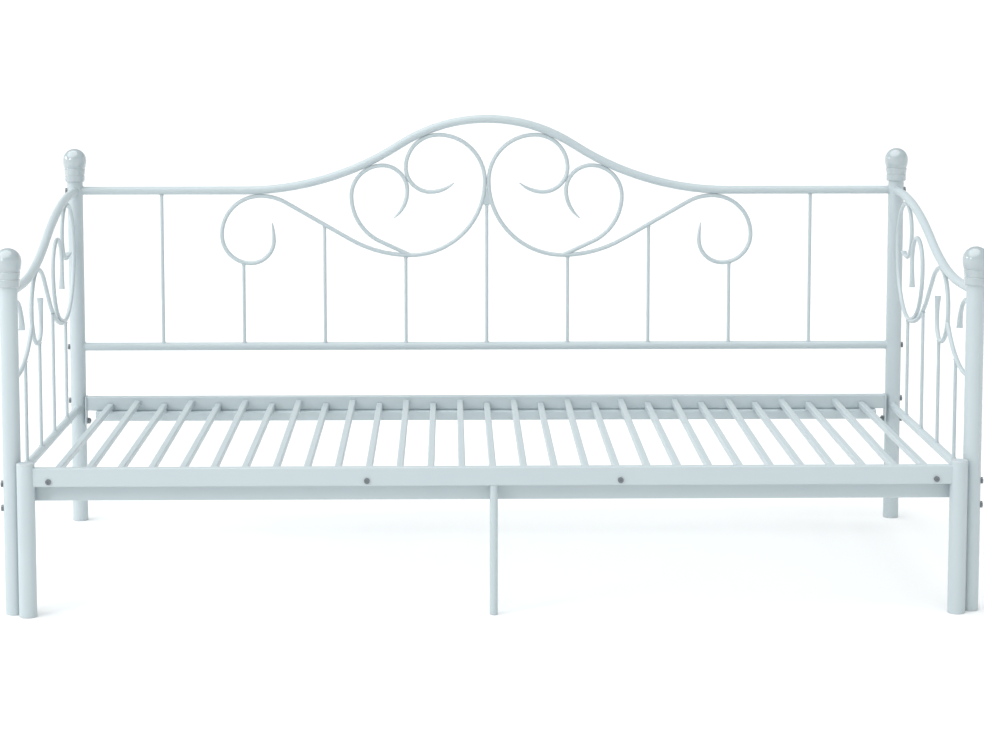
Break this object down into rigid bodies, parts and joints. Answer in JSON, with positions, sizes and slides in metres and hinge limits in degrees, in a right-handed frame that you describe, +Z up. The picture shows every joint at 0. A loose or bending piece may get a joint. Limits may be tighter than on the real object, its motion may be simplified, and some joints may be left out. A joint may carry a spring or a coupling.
{
  "type": "daybed frame",
  "caption": "White steel daybed frame with an arched scrollwork back, scrolled arms, ball finials and a slatted front section that pulls out to widen the bed.",
  "frame": {"origin": "on the floor, at the middle of the closed bed's outline", "axes": "+X runs along the bed to the right seen from the open front, +Y runs from the open front to the back panel, +Z is up"},
  "size_m": [2.098, 1.003, 1.0158],
  "materials": {
    "white_powder_coat": "satin white powder coat on welded steel tube, faintly cool",
    "glossy_cap": "glossy white moulded plastic finials",
    "plastic_cap": "semi-matt white moulded plastic foot caps, leg caps and slat glides",
    "zinc_steel": "zinc-plated steel bolts, nuts and threaded inserts"
  },
  "bodies": {
    "bed_frame": {"arm_end_scroll_left": "white_powder_coat", "arm_end_scroll_right": "white_powder_coat", "arm_hook_left": "white_powder_coat", "arm_hook_right": "white_powder_coat", "arm_long_scroll_left": "white_powder_coat", "arm_long_scroll_right": "white_powder_coat", "arm_low_rail_left": "white_powder_coat", "arm_low_rail_right": "white_powder_coat", "arm_rods_left": "white_powder_coat", "arm_rods_right": "white_powder_coat", "arm_top_rail_left": "white_powder_coat", "arm_top_rail_right": "white_powder_coat", "back_gusset": "white_powder_coat", "back_hook_left": "white_powder_coat", "back_hook_right": "white_powder_coat", "back_long_scroll_left": "white_powder_coat", "back_long_scroll_right": "white_powder_coat", "back_low_rail": "white_powder_coat", "back_panel_bolts": "zinc_steel", "back_rail_inserts": "zinc_steel", "back_rods": "white_powder_coat", "back_top_rail": "white_powder_coat", "fixed_slats": "white_powder_coat", "front_finial_left": "glossy_cap", "front_finial_right": "glossy_cap", "front_foot_left": "plastic_cap", "front_foot_right": "plastic_cap", "front_plate_left": "white_powder_coat", "front_plate_right": "white_powder_coat", "front_post_left": "white_powder_coat", "front_post_right": "white_powder_coat", "front_seat_rail": "white_powder_coat", "rear_finial_left": "glossy_cap", "rear_finial_right": "glossy_cap", "rear_foot_left": "plastic_cap", "rear_foot_right": "plastic_cap", "rear_ledge": "white_powder_coat", "rear_plate_left": "white_powder_coat", "rear_plate_right": "white_powder_coat", "rear_post_left": "white_powder_coat", "rear_post_right": "white_powder_coat", "rear_seat_rail": "white_powder_coat", "seat_rail_bolts": "zinc_steel", "seat_rail_nuts": "zinc_steel"},
    "pullout_frame": {"pullout_centre_foot": "plastic_cap", "pullout_centre_leg": "white_powder_coat", "pullout_foot_left": "plastic_cap", "pullout_foot_right": "plastic_cap", "pullout_leg_cap_left": "plastic_cap", "pullout_leg_cap_right": "plastic_cap", "pullout_leg_left": "white_powder_coat", "pullout_leg_right": "white_powder_coat", "pullout_rail": "white_powder_coat", "pullout_screws": "zinc_steel", "slat_inserts": "zinc_steel", "slat_strip": "white_powder_coat", "sliding_slat_glides": "plastic_cap", "sliding_slats": "white_powder_coat"}
  },
  "joints": [
    {"name": "pullout_slide", "type": "slide", "parent": "bed_frame", "child": "pullout_frame", "axis": [0, -1, 0], "range_m": [0, 0.865]}
  ]
}
